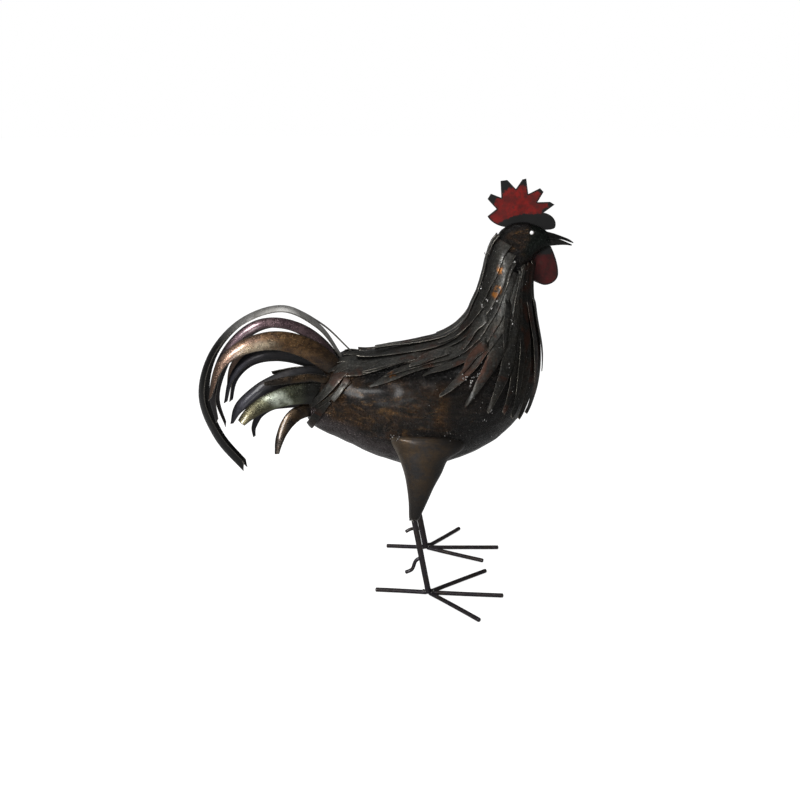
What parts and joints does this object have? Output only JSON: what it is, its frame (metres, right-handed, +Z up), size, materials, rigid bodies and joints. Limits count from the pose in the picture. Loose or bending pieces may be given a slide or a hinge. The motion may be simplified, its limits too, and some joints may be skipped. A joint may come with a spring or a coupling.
{
  "type": "scrap metal rooster sculpture",
  "caption": "Standing rooster welded from shingled scrap sheet steel strips, with curved ribbon tail feathers, an upright comb and splayed rod feet.",
  "frame": {"origin": "on the floor, under the centre of the bounding box; y = 0 is close to the mid-plane of the bird", "axes": "+X the way the beak points, +Z up, +Y towards the left wing; tail behind at -X"},
  "size_m": [0.4375, 0.2501, 0.4855],
  "materials": {
    "body_sheet": "heat-tinted brown sheet steel under clear lacquer",
    "strip_sheet": "fire-blackened sheet steel with ground bright edges, clear lacquer",
    "comb_red": "dark red paint, blackened at edges and tips",
    "beak_black": "fire-blackened sheet steel, clear lacquer",
    "sickle_grey": "heat-tinted grey and purple sheet steel, clear lacquer",
    "sickle_purple": "heat-tinted purple-brown sheet steel, clear lacquer",
    "feather_bronze": "heat-tinted bronze-brown sheet steel, clear lacquer",
    "feather_dark": "fire-blackened sheet steel, clear lacquer",
    "feather_green": "heat-tinted grey-green sheet steel, clear lacquer",
    "leg_rod": "dark heat-tinted steel rod, clear lacquer"
  },
  "bodies": {
    "root": {"body_shell": "body_sheet", "thigh_right": "body_sheet", "thigh_left": "body_sheet", "strip_right_01": "strip_sheet", "strip_right_02": "strip_sheet", "strip_right_03": "strip_sheet", "strip_right_04": "strip_sheet", "strip_right_05": "strip_sheet", "strip_right_06": "strip_sheet", "strip_right_07": "strip_sheet", "strip_right_08": "strip_sheet", "strip_right_09": "strip_sheet", "strip_left_01": "strip_sheet", "strip_left_02": "strip_sheet", "strip_left_03": "strip_sheet", "strip_left_04": "strip_sheet", "strip_left_05": "strip_sheet", "strip_left_06": "strip_sheet", "strip_left_07": "strip_sheet", "strip_left_08": "strip_sheet", "strip_left_09": "strip_sheet", "rump_strip_right_1": "strip_sheet", "rump_strip_right_2": "strip_sheet", "rump_strip_right_3": "strip_sheet", "rump_strip_left_1": "strip_sheet", "rump_strip_left_2": "strip_sheet", "rump_strip_left_3": "strip_sheet", "comb": "comb_red", "wattle": "comb_red", "beak_upper": "beak_black", "beak_lower": "beak_black", "sickle_top_right": "sickle_grey", "sickle_top_left": "sickle_grey", "sickle_second_right": "sickle_purple", "sickle_second_left": "sickle_purple", "sickle_broad_right": "feather_bronze", "sickle_broad_left": "feather_bronze", "covert_lower_right": "feather_bronze", "covert_lower_left": "feather_bronze", "sickle_inner_right": "feather_dark", "sickle_inner_left": "feather_dark", "covert_upper_right": "feather_dark", "covert_upper_left": "feather_dark", "covert_short_right": "feather_dark", "covert_short_left": "feather_dark", "covert_broad_right": "feather_green", "covert_broad_left": "feather_green", "shank_right": "leg_rod", "spur_right": "leg_rod", "toe_back_right": "leg_rod", "toe_inner_right": "leg_rod", "toe_middle_right": "leg_rod", "toe_outer_right": "leg_rod", "shank_left": "leg_rod", "spur_left": "leg_rod", "toe_back_left": "leg_rod", "toe_inner_left": "leg_rod", "toe_middle_left": "leg_rod", "toe_outer_left": "leg_rod"}
  },
  "joints": []
}
